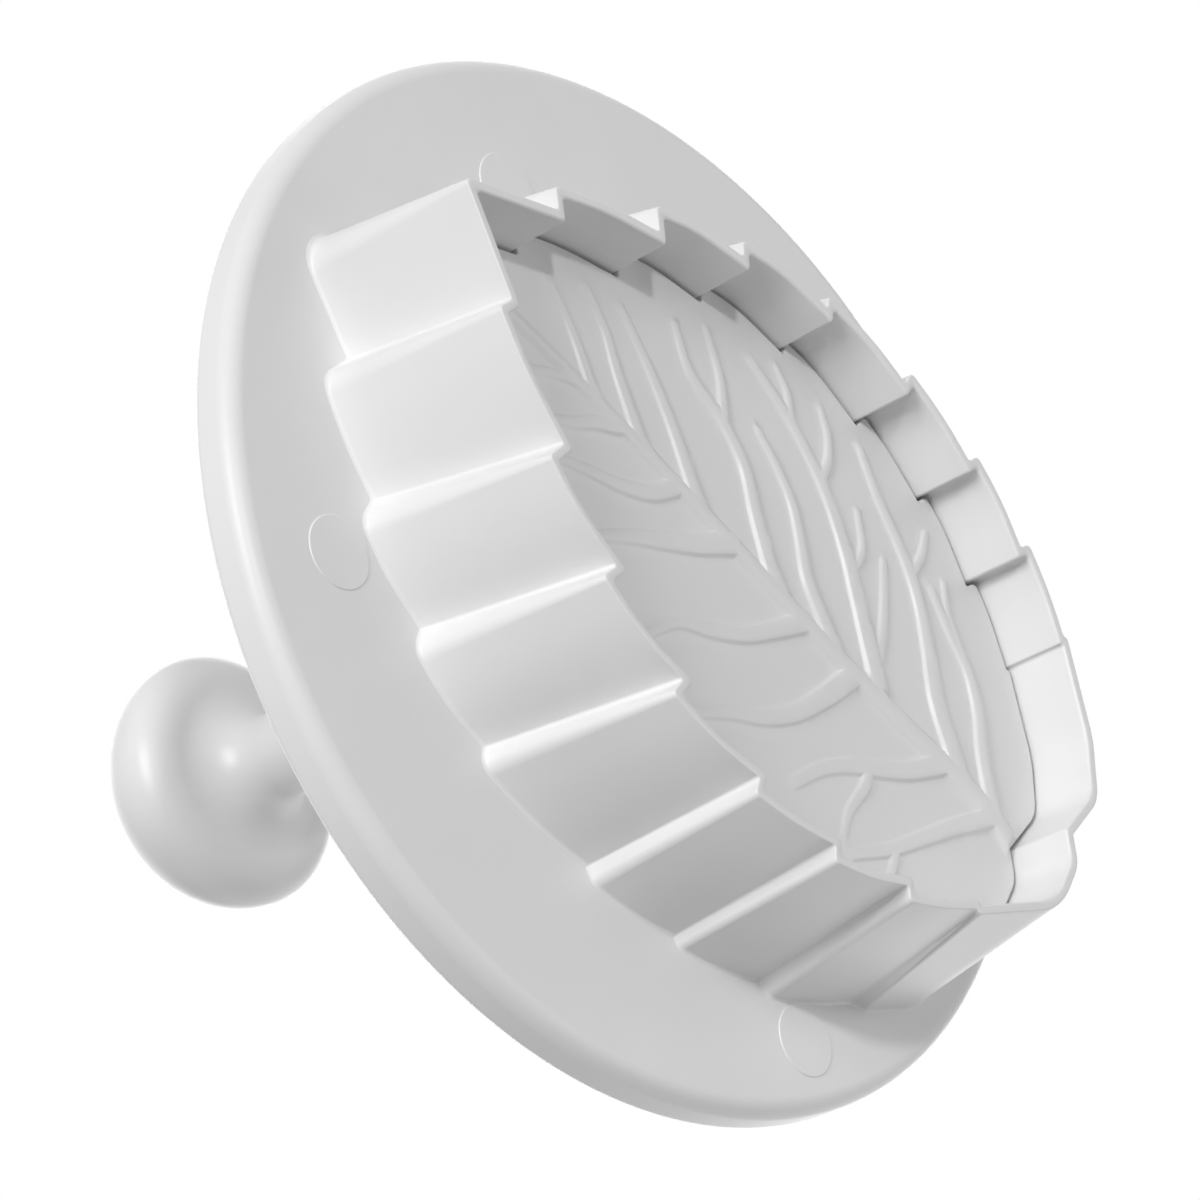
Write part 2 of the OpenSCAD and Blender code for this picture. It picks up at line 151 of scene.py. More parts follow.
def half_corners(edge_shifts, spreads, level):
    """Corners of half the leaf, tip to stem: point, rounding, points of the arc, share of a side."""
    pairs = []
    for i, (place, depth, slope, _, _) in enumerate(TEETH):
        y = STEM_Y + place * LEAF_LENGTH
        tooth = Vector((half_width(y), y))
        notch = tooth - depth * Vector((math.cos(math.radians(slope)), math.sin(math.radians(slope))))
        shift = edge_shifts[i] if i < len(edge_shifts) else ((0, 0), (0, 0))
        pairs.append([
            p + (1 - level) * Vector(at_edge) + level * Vector(at_flange)
            for p, at_edge, at_flange in zip((notch, tooth), shift, spreads[i])
        ])
    corners = []
    for i, (notch, tooth) in enumerate(pairs):
        flange_radius, swell = TEETH[i][3:]
        radius = TOOTH_RADIUS + level * (flange_radius - TOOTH_RADIUS)
        if swell:
            corners.append((notch, NOTCH_RADIUS, NOTCH_POINTS, NOTCH_SHARE))
        else:
            corners.append((notch, SOFT_NOTCH_RADIUS, NOTCH_POINTS, SOFT_NOTCH_SHARE))
        corners.append((tooth, radius, TOOTH_POINTS, TOOTH_SHARE))
        if swell:
            next_notch = pairs[i + 1][0]
            way = (next_notch - tooth).normalized()
            middle = (tooth + next_notch) / 2 + swell * Vector((-way.y, way.x))
            corners.append((middle, SWELL_RADIUS, SWELL_POINTS, SWELL_SHARE))
    return corners


def leaf_corners(level):
    """The leaf's corners, clockwise from its tip, from level 0 at the edge to 1 at the flange."""
    tip = (
        Vector((0.0, TIP_Y)) + Vector(TIP_AT) + level * Vector(TIP_SPREAD),
        TOOTH_RADIUS + level * (TIP_FLANGE_RADIUS - TOOTH_RADIUS),
        TIP_POINTS,
        END_SHARE,
    )
    lobes = [
        (Vector((x, STEM_Y + y)) + level * Vector(by), radius, LOBE_POINTS, END_SHARE)
        for (x, y), radius, by in LOBES
    ]
    left = [
        (Vector((-p.x, p.y)), radius, steps, share)
        for p, radius, steps, share in half_corners(LEFT_EDGE, LEFT_SPREAD, level)
    ]
    return [tip] + half_corners((), RIGHT_SPREAD, level) + lobes + left[::-1]


def inset(corners, distance):
    """The corners moved inwards, with every side kept in its direction."""
    moved = []
    for i, (p, radius, steps, share) in enumerate(corners):
        before = (p - corners[i - 1][0]).normalized()
        after = (corners[(i + 1) % len(corners)][0] - p).normalized()
        before, after = Vector((-before.y, before.x)), Vector((-after.y, after.x))
        out = p - distance * (before + after) / (1 + before.dot(after))
        moved.append((out, radius, steps, share))
    return moved


def rounded(corners):
    """The outline's points, as an array, with each corner turned into an arc."""
    points = []
    for i, (p, radius, steps, share) in enumerate(corners):
        to_a = corners[i - 1][0] - p
        to_b = corners[(i + 1) % len(corners)][0] - p
        a, b = to_a.normalized(), to_b.normalized()
        half = math.acos(a.dot(b)) / 2
        r = min(radius, share * min(to_a.length, to_b.length) * math.tan(half))
        inward = (a + b).normalized()
        middle = p + inward * r / math.sin(half)
        side = math.copysign(1, a.x * b.y - a.y * b.x)
        for k in range(steps):
            turn = side * (0.5 - k / (steps - 1)) * (math.pi - 2 * half)
            c, s = math.cos(turn), math.sin(turn)
            arm = Vector((inward.x * c - inward.y * s, inward.x * s + inward.y * c))
            points.append(middle - r * arm)
    return np.array([tuple(q) for q in points])


def solid_from(name, points, faces):
    """A mesh object from points in millimetres, with its faces turned outwards."""
    mesh = bpy.data.meshes.new(name)
    mesh.from_pydata([tuple(c * MM for c in p) for p in points], [], faces)
    bm = bmesh.new()
    bm.from_mesh(mesh)
    bmesh.ops.recalc_face_normals(bm, faces=bm.faces)
    bm.to_mesh(mesh)
    bm.free()
    piece = bpy.data.objects.new(name, mesh)
    bpy.context.scene.collection.objects.link(piece)
    return piece


def circle(radius, z, sides, x=0.0, y=0.0):
    """Points of a level circle about (x, y)."""
    angles = [2 * math.pi * k / sides for k in range(sides)]
    return [(x + radius * math.cos(a), y + radius * math.sin(a), z) for a in angles]


def bands(rows, n, start=0):
    """Faces between rows of n points each, every row joined to the next."""
    return [
        (a + i, a + (i + 1) % n, a + n + (i + 1) % n, a + n + i)
        for a in range(start, start + (rows - 1) * n, n)
        for i in range(n)
    ]


def ring_solid(name, rings, capped=False):
    """A solid from loops of equal length, closed from the last to the first or capped at both ends."""
    n = len(rings[0])
    last = (len(rings) - 1) * n
    points = [p for ring in rings for p in ring]
    faces = bands(len(rings), n)
    if capped:
        faces = [tuple(range(n)), tuple(last + i for i in range(n))] + faces
    else:
        faces += [(last + i, last + (i + 1) % n, (i + 1) % n, i) for i in range(n)]
    return solid_from(name, points, faces)


def turned(name, section, sides, capped=False):
    """A solid turned about the plunger's axis from a section of (radius, height) points."""
    return ring_solid(name, [circle(r, z, sides) for r, z in section], capped)


def arc(x, z, radius, start, end, steps):
    """Points of an arc about (x, z), between two angles in degrees."""
    angles = [math.radians(start + (end - start) * k / steps) for k in range(steps + 1)]
    return [(x + radius * math.cos(a), z + radius * math.sin(a)) for a in angles]


def settle(piece):
    """Applies the piece's modifiers to its mesh."""
    graph = bpy.context.evaluated_depsgraph_get()
    piece.data = bpy.data.meshes.new_from_object(piece.evaluated_get(graph))
    piece.modifiers.clear()


def join(piece, other):
    """Joins another solid to a piece, and removes the other."""
    modifier = piece.modifiers.new("join", "BOOLEAN")
    modifier.operation = "UNION"
    modifier.object = other
    modifier.solver = "EXACT"
    settle(piece)
    bpy.data.objects.remove(other)


def smooth(piece, crease):
    """Shades a moulded surface smooth, with edges sharper than the crease angle kept."""
    piece.data.shade_smooth()
    piece.data.set_sharp_from_angle(angle=math.radians(crease))
    weighted = piece.modifiers.new("even_shading", "WEIGHTED_NORMAL")
    weighted.keep_sharp = True
    weighted.weight = 60


FLANGE_RADIUS = 48.0
FLANGE_Z = 17.8
FLANGE_THICKNESS = 1.8
FLANGE_SIDES = 288
# Radii of the rings that divide the flange's face and its back into even strips
FACE_ROWS = (20.0, 36.0)
BACK_ROWS = (30.0, 16.0)
RIM_ROUNDING = 1.6
RIM_THICKNESS = 1.8
RIM_TOP_Z = 22.15
RIM_INNER_ROUNDING = 0.6
COLLAR_RADIUS = 5.5
COLLAR_TOP_Z = 31.0
COLLAR_FILLET = 2.0
COLLAR_ROUNDING = 0.4
COLLAR_WEB_THICKNESS = 1.4
COLLAR_WEB_REACH = 15.0
COLLAR_WEB_HEIGHT = 6.0
COLLAR_WEB_TOE = 0.6
SEAT_Z = 29.0
SEAT_RADIUS = 4.1
BORE_RADIUS = 2.55
WALL_SINK = 0.4
WALL_ROWS = 12
INSIDE_ROWS_Z = (12.0, 6.0)
LIP_OUTSIDE = 0.12
LIP_OUTSIDE_ROWS = 4
LIP_INSIDE = 0.32
LIP_INSIDE_ROWS = 5
ROOT_FILLET = 0.35
ROOT_FILLET_ROWS = 5
# Places of the ejector marks, and their radius and height from the sunk foot to the flat top
MARK_PLACES = [(25.9, 27.8), (-21.5, 28.4), (27.7, -31.4), (-21.5, -31.4)]
MARK_PROFILE = [(3.25, -0.6), (3.25, 0.02), (3.18, 0.09), (3.1, 0.1)]
MARK_SIDES = 72

edge = rounded(leaf_corners(0))
root = rounded(leaf_corners(1))
wall_top = FLANGE_Z + WALL_SINK


def wall_rings():
    """Loops of the wall's section: up the drafted outside, across, down the inside, round the lip."""
    rings = []

    def place(loop, z):
        rings.append([(x + LEAF_SHIFT, y, z) for x, y in loop])

    def outside(z):
        return edge + (root - edge) * z / wall_top

    for k in range(LIP_OUTSIDE_ROWS):
        a = math.radians(90 * k / LIP_OUTSIDE_ROWS)
        depth = LIP_OUTSIDE * (1 - math.sin(a))
        z = LIP_OUTSIDE * (1 - math.cos(a))
        place(rounded(inset(leaf_corners(0), depth)) + (root - edge) * z / wall_top, z)
    low, high = LIP_OUTSIDE, FLANGE_Z - ROOT_FILLET
    for k in range(WALL_ROWS + 1):
        z = low + (high - low) * k / WALL_ROWS
        place(outside(z), z)
    for k in range(1, ROOT_FILLET_ROWS):
        a = math.radians(90 * k / ROOT_FILLET_ROWS)
        z = high + ROOT_FILLET * math.sin(a)
        wider = rounded(inset(leaf_corners(1), -ROOT_FILLET * (1 - math.cos(a)))) - root
        place(outside(z) + wider, z)
    place(rounded(inset(leaf_corners(1), -ROOT_FILLET)), wall_top)
    inner = rounded(inset(leaf_corners(0), EDGE_THICKNESS))
    for z in (wall_top, *INSIDE_ROWS_Z, LIP_INSIDE):
        place(inner, z)
    for k in range(1, LIP_INSIDE_ROWS):
        a = math.radians(90 * k / LIP_INSIDE_ROWS)
        depth = EDGE_THICKNESS - LIP_INSIDE * (1 - math.cos(a))
        place(rounded(inset(leaf_corners(0), depth)), LIP_INSIDE * (1 - math.sin(a)))
    return rings


def cutter_moulding():
    """The flange, rim and collar turned as one, with the wall, the webs and the marks joined on."""
    back_z = FLANGE_Z + FLANGE_THICKNESS
    rim, fillet, corner = RIM_THICKNESS / 2, COLLAR_FILLET, COLLAR_ROUNDING
    inner_rim = FLANGE_RADIUS - RIM_THICKNESS - RIM_INNER_ROUNDING
    section = (
        [(r, FLANGE_Z) for r in (BORE_RADIUS, *FACE_ROWS)]
        + arc(FLANGE_RADIUS - RIM_ROUNDING, FLANGE_Z + RIM_ROUNDING, RIM_ROUNDING, -90, 0, 10)
        + arc(FLANGE_RADIUS - rim, RIM_TOP_Z - rim, rim, 0, 180, 12)
        + arc(inner_rim, back_z + RIM_INNER_ROUNDING, RIM_INNER_ROUNDING, 0, -90, 5)
        + [(r, back_z) for r in BACK_ROWS]
        + arc(COLLAR_RADIUS + fillet, back_z + fillet, fillet, 270, 180, 8)
        + arc(COLLAR_RADIUS - corner, COLLAR_TOP_Z - corner, corner, 0, 90, 4)
        + [(SEAT_RADIUS, COLLAR_TOP_Z), (SEAT_RADIUS, SEAT_Z), (BORE_RADIUS, SEAT_Z)]
    )
    piece = turned("leaf_cutter", section, FLANGE_SIDES)
    join(piece, ring_solid("wall", wall_rings()))
    join(piece, collar_webs(back_z))
    join(piece, ejector_marks())
    return piece


def collar_webs(back_z):
    """Four small webs that brace the collar on the flange's back."""
    half, foot = COLLAR_WEB_THICKNESS / 2, 1.0
    profile = [
        (COLLAR_RADIUS - foot, back_z - foot),
        (COLLAR_WEB_REACH, back_z - foot),
        (COLLAR_WEB_REACH, back_z + COLLAR_WEB_TOE),
        (COLLAR_RADIUS, back_z + COLLAR_WEB_HEIGHT),
        (COLLAR_RADIUS - foot, back_z + COLLAR_WEB_HEIGHT),
    ]
    n = len(profile)
    points, faces = [], []
    for turn in range(4):
        c, s = math.cos(turn * math.pi / 2), math.sin(turn * math.pi / 2)
        start = len(points)
        for side in (-half, half):
            points += [(r * c - side * s, r * s + side * c, z) for r, z in profile]
        faces.append(tuple(start + i for i in range(n)))
        faces.append(tuple(start + n + i for i in reversed(range(n))))
        faces += bands(2, n, start)
    return solid_from("webs", points, faces)


def ejector_marks():
    """Four round pads, hardly raised, left in the flange's face by the pins that push it out."""
    points, faces = [], []
    for x, y in MARK_PLACES:
        start = len(points)
        for radius, height in MARK_PROFILE:
            points += circle(radius, FLANGE_Z - height, MARK_SIDES, x, y)
        faces += bands(len(MARK_PROFILE), MARK_SIDES, start)
        faces.append(tuple(start + k for k in reversed(range(MARK_SIDES))))
        faces.append(tuple(range(len(points) - MARK_SIDES, len(points))))
    return solid_from("marks", points, faces)


def add(tree, kind, links=None, **settings):
    """Adds a node with its settings. Links fill inputs: name to (node, output) or to a value."""
    node = tree.nodes.new(kind)
    for key, value in settings.items():
        setattr(node, key, value)
    for key, value in (links or {}).items():
        if isinstance(value, tuple) and isinstance(value[0], bpy.types.Node):
            tree.links.new(value[0].outputs[value[1]], node.inputs[key])
        else:
            node.inputs[key].default_value = value
    return node


def linear(hex_colour):
    """A linear colour from an sRGB hex value."""
    channels = [int(hex_colour[i:i + 2], 16) / 255 for i in (0, 2, 4)]
    return [c / 12.92 if c <= 0.04045 else ((c + 0.055) / 1.055) ** 2.4 for c in channels] + [1.0]


ABS_IOR = 1.53
WAVES_MM = 3.5
WAVES_DEPTH_MM = 0.01
POLISH_SPREAD = 0.01


def moulded_plastic(name, shade, tint, roughness, grain_mm, grain_depth_mm, flow_mm):
    """White moulded plastic: slow cloudy flow in the colour, and the tool's grain in the surface."""
    material = bpy.data.materials.new(name)
    material.use_nodes = True
    tree = material.node_tree
    tree.nodes.clear()
    place = add(tree, "ShaderNodeTexCoord")
    flow = add(tree, "ShaderNodeTexNoise", {
        "Vector": (place, "Object"), "Scale": 1 / (flow_mm * MM), "Detail": 2.0, "Roughness": 0.5,
    })
    soft = add(tree, "ShaderNodeMapRange", {
        "Value": (flow, "Fac"), "From Min": 0.3, "From Max": 0.7, "To Min": 0.0, "To Max": 1.0,
    })
    colour = add(tree, "ShaderNodeMix", {
        0: (soft, "Result"), 6: linear(shade), 7: linear(tint),
    }, data_type="RGBA")
    grain = add(tree, "ShaderNodeTexNoise", {
        "Vector": (place, "Object"), "Scale": 1 / (grain_mm * MM), "Detail": 3.0, "Roughness": 0.6,
    })
    wavy = add(tree, "ShaderNodeTexNoise", {
        "Vector": (place, "Object"), "Scale": 1 / (WAVES_MM * MM), "Detail": 1.0, "Roughness": 0.4,
    })
    waves = add(tree, "ShaderNodeBump", {
        "Height": (wavy, "Fac"), "Strength": 0.3, "Distance": WAVES_DEPTH_MM * MM,
    })
    bump = add(tree, "ShaderNodeBump", {
        "Height": (grain, "Fac"), "Strength": 0.5, "Distance": grain_depth_mm * MM,
        "Normal": (waves, "Normal"),
    })
    polish = add(tree, "ShaderNodeMapRange", {
        "Value": (grain, "Fac"), "From Min": 0.3, "From Max": 0.7,
        "To Min": roughness - POLISH_SPREAD, "To Max": roughness + POLISH_SPREAD,
    })
    shader = add(tree, "ShaderNodeBsdfPrincipled", {
        "Base Color": (colour, 2), "Roughness": (polish, "Result"), "Normal": (bump, "Normal"),
        "IOR": ABS_IOR, "Metallic": 0.0,
    })
    add(tree, "ShaderNodeOutputMaterial", {"Surface": (shader, "BSDF")})
    return material


# Satin white ABS off a spark-eroded tool: the eye sees an even, clean white with a soft, wide gloss
# and a grain that only shows where the light grazes it. The grain is drawn at 0.3 mm so that it
# shows at all; the real one is finer.
satin_abs = moulded_plastic(
    "satin_white_abs", "E9E9E9", "E6E6E6",
    roughness=0.42, grain_mm=0.3, grain_depth_mm=0.006, flow_mm=14.0,
)

leaf_cutter = cutter_moulding()
leaf_cutter.data.materials.clear()
leaf_cutter.data.materials.append(satin_abs)
smooth(leaf_cutter, crease=28)
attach(leaf_cutter, "cutter")
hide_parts("cutter_body")


# The plate that prints the veins is a second moulding in the same white ABS, better polished. It
# fills the wall with a hair of clearance, carries the veins as low ridges on its face, and has a
# skirt round its back, stiffening webs, a boss and the long shaft that takes the knob.

PLATE_GAP = 0.3
PLATE_Z = 6.0
PLATE_THICKNESS = 2.0
PLATE_EDGE_ROUNDING = 0.15
PLATE_EDGE_ROWS = 4
SKIRT_ROW_Z = 12.0
SKIRT_TOP_Z = 17.5
SKIRT_THICKNESS = 1.2
BOSS_RADIUS = 5.0
BOSS_TOP_Z = 17.7
BOSS_CHAMFER = 0.3
SHAFT_RADIUS = 2.5
SHAFT_TOP_Z = 68.0
SHAFT_CHAMFER = 0.4
SHAFT_ROWS_Z = (30.0, 48.0)
SHAFT_SIDES = 96
BACK_WEB_THICKNESS = 1.2
BACK_WEB_HEIGHT = 4.5
BACK_WEB_DRAFT = 0.12
BACK_WEB_GAP = 3
BACK_WEB_TIP_GAP = 9
CROSS_WEBS_Y = (-24, -9, 9)
VEIN_HEIGHT = 0.48
VEIN_FLANK = 0.42
VEIN_TAPER = 0.5
VEIN_CROWN = 0.18
MIDRIB_FLANK = 0.95
MIDRIB_LOW = 0.7
MIDRIB_RISE = 0.3
# The mesh of the veined face: its pitch, the height of its rows, its half size, the margin that it
# keeps to the border, the cell round a vein's own points that it leaves free, the width over which
# the veins fade at the border, and the lines laid along each flank
FACE_PITCH = 0.55
FACE_ROW = 0.866
FACE_REACH = (28, 42)
FACE_MARGIN = 0.25
FACE_CELL = 0.3
FACE_FADE = 0.5
FLANK_LINES = (-0.5, -0.25, 0.0, 0.25, 0.5)

# Midrib and veins: widths at the start and the end, height as a share, and the line's points
MIDRIB = (1.2, 2.3, 1.0, [(0.5, 33.6), (0.1, 22), (0.0, 14), (0.1, 5), (0.3, -4), (0.4, -11),
                          (0.3, -18), (0.0, -26), (-0.1, -31), (0.3, -34.5), (0.8, -36.4)])
VEINS = [
    (1.4, 0.8, 0.9, [(-0.4, 19.2), (-1.8, 20.8), (-3.5, 22.8), (-4.9, 24.8), (-6.2, 27.0)]),
    (1.6, 0.9, 0.9, [(-0.4, 13.1), (-1.9, 14.9), (-4.4, 17.8), (-7.2, 20.6), (-9.3, 23.9)]),
    (1.8, 0.9, 0.9, [(-0.4, 5.7), (-1.8, 7.4), (-5.1, 11.3), (-8.0, 15.4), (-10.6, 19.8)]),
    (2.0, 0.9, 1.0, [(-0.4, -4.6), (-1.5, -3.1), (-4.7, 0.0), (-8.2, 3.0), (-10.3, 6.9),
                     (-11.5, 11.4), (-14.5, 14.6)]),
    (1.3, 0.8, 0.8, [(-10.1, 6.4), (-13.9, 8.4), (-17.1, 11.5)]),
    (1.9, 0.8, 1.0, [(-0.4, -11.8), (-1.8, -9.9), (-3.9, -7.1), (-6.7, -5.1), (-9.4, -2.9),
                     (-11.4, 0.0), (-12.9, 3.1)]),
    (2.2, 1.0, 1.0, [(-0.2, -18.3), (-1.5, -17.2), (-6.1, -13.3), (-10.6, -9.4), (-14.4, -4.8),
                     (-17.1, 0.6), (-18.8, 6.4)]),
    (1.1, 0.7, 0.7, [(-17.2, 0.4), (-19.3, 1.6), (-20.7, 3.6)]),
    (1.2, 0.8, 0.8, [(-14.6, -4.8), (-17.0, -4.8), (-19.3, -3.9), (-21.1, -2.3)]),
    (2.3, 1.0, 1.0, [(-0.4, -29.1), (-2.0, -27.4), (-5.2, -24.0), (-9.3, -21.4), (-13.1, -18.6),
                     (-16.1, -15.0), (-18.6, -11.0), (-21.4, -7.5)]),
    (1.2, 0.8, 0.8, [(-8.4, -10.9), (-11.9, -11.4), (-15.1, -9.6)]),
    (1.5, 0.9, 0.8, [(-0.2, -17.1), (-1.3, -16.9), (-5.3, -16.5), (-9.3, -15.4), (-13.1, -13.9)]),
    (1.2, 0.8, 0.7, [(-14.4, -17.0), (-17.3, -17.5), (-20.1, -17.1)]),
    (2.0, 1.0, 1.0, [(-0.1, -33.8), (-1.5, -32.8), (-4.7, -30.6), (-8.3, -28.7), (-11.2, -26.2),
                     (-13.1, -22.9), (-15.3, -19.6)]),
    (1.1, 0.8, 0.7, [(-12.3, -24.6), (-14.5, -22.3), (-17.2, -20.7)]),
    (1.2, 0.8, 0.8, [(0.0, 19.4), (0.4, 21.4), (1.6, 23.3), (3.2, 25.3)]),
    (1.6, 0.9, 0.9, [(0.1, 15.5), (0.9, 16.4), (2.1, 17.9), (3.9, 19.6), (5.5, 21.5)]),
    (1.8, 0.9, 0.9, [(0.1, 8.4), (0.9, 8.8), (3.4, 10.6), (5.4, 13.5), (6.9, 16.7), (8.5, 19.8)]),
    (2.3, 1.0, 1.0, [(0.1, 1.2), (0.9, 2.0), (3.4, 4.3), (6.1, 7.3), (8.7, 10.4), (11.5, 13.3)]),
    (1.9, 1.0, 1.0, [(0.3, -8.5), (0.9, -8.0), (4.0, -5.7), (7.2, -3.1), (9.8, 0.0), (12.1, 3.4),
                     (15.6, 5.6)]),
    (2.2, 1.1, 1.0, [(0.3, -14.9), (1.5, -14.5), (5.4, -12.8), (9.3, -10.7), (12.5, -8.0),
                     (15.2, -4.6), (18.1, -1.6)]),
    (2.0, 1.2, 1.0, [(0.1, -26.9), (0.9, -26.2), (4.0, -23.6), (6.6, -20.7), (9.1, -17.6),
                     (12.0, -15.0), (15.5, -13.0)]),
    (1.9, 1.1, 1.0, [(0.0, -33.8), (0.6, -33.4), (4.5, -30.3), (8.6, -27.4), (12.8, -24.4),
                     (16.5, -21.0)]),
    (1.3, 0.8, 0.8, [(7.8, -19.6), (9.4, -19.9), (11.4, -19.5), (13.4, -19.2), (15.5, -19.5)]),
    (1.1, 0.8, 0.7, [(12.4, -25.0), (14.2, -25.4), (15.8, -25.2)]),
]


def through(points, per_span):
    """A smooth line through the given points."""
    p = [np.array(q) for q in points]
    p = [2 * p[0] - p[1]] + p + [2 * p[-1] - p[-2]]
    line = []
    for i in range(1, len(p) - 2):
        for k in range(per_span):
            t = k / per_span
            line.append(0.5 * (
                2 * p[i] + (p[i + 1] - p[i - 1]) * t
                + (2 * p[i - 1] - 5 * p[i] + 4 * p[i + 1] - p[i + 2]) * t ** 2
                + (3 * p[i] - p[i - 1] - 3 * p[i + 1] + p[i + 2]) * t ** 3
            ))
    line.append(p[-2])
    return np.array(line)


def vein_lines():
    """For each vein its line of points, half width and height at each, and the width of its flanks."""
    lines = []
    for vein in [MIDRIB] + VEINS:
        start, end, share, points = vein
        line = through(points, per_span=6)
        run = np.r_[0, np.cumsum(np.linalg.norm(np.diff(line, axis=0), axis=1))]
        t = run / run[-1]
        half = (start + (end - start) * t) / 2
        if vein is MIDRIB:
            height = VEIN_HEIGHT * (MIDRIB_LOW + MIDRIB_RISE * np.minimum(1, t * 2))
            flank = MIDRIB_FLANK
        else:
            height = VEIN_HEIGHT * share * (1 - VEIN_TAPER * t)
            flank = VEIN_FLANK
        lines.append((line, half, height, flank))
    return lines


def to_segment(points, a, b):
    """For each point its place along the segment from a to b, 0 to 1, and its distance from it."""
    d = b - a
    t = np.clip(((points - a) @ d) / max(d @ d, 1e-12), 0, 1)
    return t, np.linalg.norm(points - (a + t[:, None] * d), axis=1)


def relief(points, lines):
    """Height of the veins' ridges over the plate at each point: crowned, with soft shoulders."""
    best = np.zeros(len(points))
    for line, half, height, flank in lines:
        for i in range(len(line) - 1):
            t, away = to_segment(points, line[i], line[i + 1])
            w = half[i] + (half[i + 1] - half[i]) * t
            h = height[i] + (height[i + 1] - height[i]) * t
            s = np.clip((w + flank / 2 - away) / flank, 0, 1)
            crown = 1 - VEIN_CROWN * np.clip(away / w, 0, 1) ** 2
            best = np.maximum(best, h * s * s * (3 - 2 * s) * crown)
    return best


def offset_line(line, distance):
    """The line moved sideways by a distance at each of its points."""
    along = np.gradient(line, axis=0)
    along /= np.linalg.norm(along, axis=1)[:, None]
    return line + np.column_stack((-along[:, 1], along[:, 0])) * distance[:, None]


def inside(points, loop):
    """Which points lie inside a closed loop."""
    x, y = points[:, 0], points[:, 1]
    found = np.zeros(len(points), bool)
    for (x0, y0), (x1, y1) in zip(loop, np.roll(loop, -1, axis=0)):
        crosses = (y0 > y) != (y1 > y)
        with np.errstate(divide="ignore", invalid="ignore"):
            found ^= crosses & (x < (x1 - x0) * (y - y0) / (y1 - y0) + x0)
    return found


def edge_distance(points, loop):
    """Distance of each point from a closed loop."""
    best = np.full(len(points), 1e9)
    for a, b in zip(loop, np.roll(loop, -1, axis=0)):
        best = np.minimum(best, to_segment(points, a, b)[1])
    return best


def veined_face(border):
    """Points, heights and triangles of the face inside its border, laid along the veins' sides."""
    lines = vein_lines()
    rows = []
    for line, half, _, flank in lines:
        rows.append(line)
        for side in (-1, 1):
            for step in FLANK_LINES:
                rows.append(offset_line(line, side * (half + step * flank)))
    clear = EDGE_THICKNESS + PLATE_GAP + PLATE_EDGE_ROUNDING + FACE_MARGIN
    safe = rounded(inset(leaf_corners(0), clear))
    reach_x, reach_y = FACE_REACH
    xs = np.arange(-reach_x, reach_x, FACE_PITCH)
    ys = np.arange(-reach_y, reach_y, FACE_PITCH * FACE_ROW)
    grid = np.array([(x + (j % 2) * FACE_PITCH / 2, y) for j, y in enumerate(ys) for x in xs])
    grid = grid[inside(grid, safe)]
    marks, ties = [], []
    for row in rows:
        kept = inside(row, safe)
        for i, p in enumerate(row):
            if not kept[i]:
                continue
            if i and kept[i - 1]:
                ties.append((len(marks) - 1, len(marks)))
            marks.append(p)
    marks = np.array(marks)
    cells = {(int(x // FACE_CELL), int(y // FACE_CELL)) for x, y in marks}
    near = [
        any(
            (int(x // FACE_CELL) + i, int(y // FACE_CELL) + j) in cells
            for i in (-1, 0, 1) for j in (-1, 0, 1)
        )
        for x, y in grid
    ]
    grid = grid[~np.array(near)]
    flat = [tuple(p) for p in np.concatenate((border, marks, grid))]
    n = len(border)
    ties = [(a + n, b + n) for a, b in ties]
    inner_only, tolerance = 1, 1e-5
    out = delaunay_2d_cdt([Vector(p) for p in flat], ties, [list(range(n))], inner_only, tolerance)
    points = np.array([tuple(p) for p in out[0]])
    fade = np.clip(edge_distance(points, border) / FACE_FADE, 0, 1)
    return points, relief(points, lines) * fade, [tuple(f) for f in out[2]]


def plate_moulding():
    """The plate's hollow back with its webs, boss and shaft, closed by the veined face."""
    clear = EDGE_THICKNESS + PLATE_GAP
    outside = rounded(inset(leaf_corners(0), clear))
    border = rounded(inset(leaf_corners(0), clear + PLATE_EDGE_ROUNDING))
    skirt = rounded(inset(leaf_corners(0), clear + SKIRT_THICKNESS))
    back_z = PLATE_Z + PLATE_THICKNESS
    rings = [(border, PLATE_Z)]
    for k in range(1, PLATE_EDGE_ROWS + 1):
        a = math.radians(90 * k / PLATE_EDGE_ROWS)
        loop = rounded(inset(leaf_corners(0), clear + PLATE_EDGE_ROUNDING * (1 - math.sin(a))))
        rings.append((loop, PLATE_Z + PLATE_EDGE_ROUNDING * (1 - math.cos(a))))
    rings += [(outside, SKIRT_ROW_Z), (outside, SKIRT_TOP_Z), (skirt, SKIRT_TOP_Z), (skirt, back_z)]
    placed = [[(x + LEAF_SHIFT, y, z) for x, y in loop] for loop, z in rings]
    piece = ring_solid("veined_plate", placed, capped=True)
    join(piece, back_webs(back_z))
    join(piece, boss_and_shaft(back_z))
    return put_on_face(piece, border)


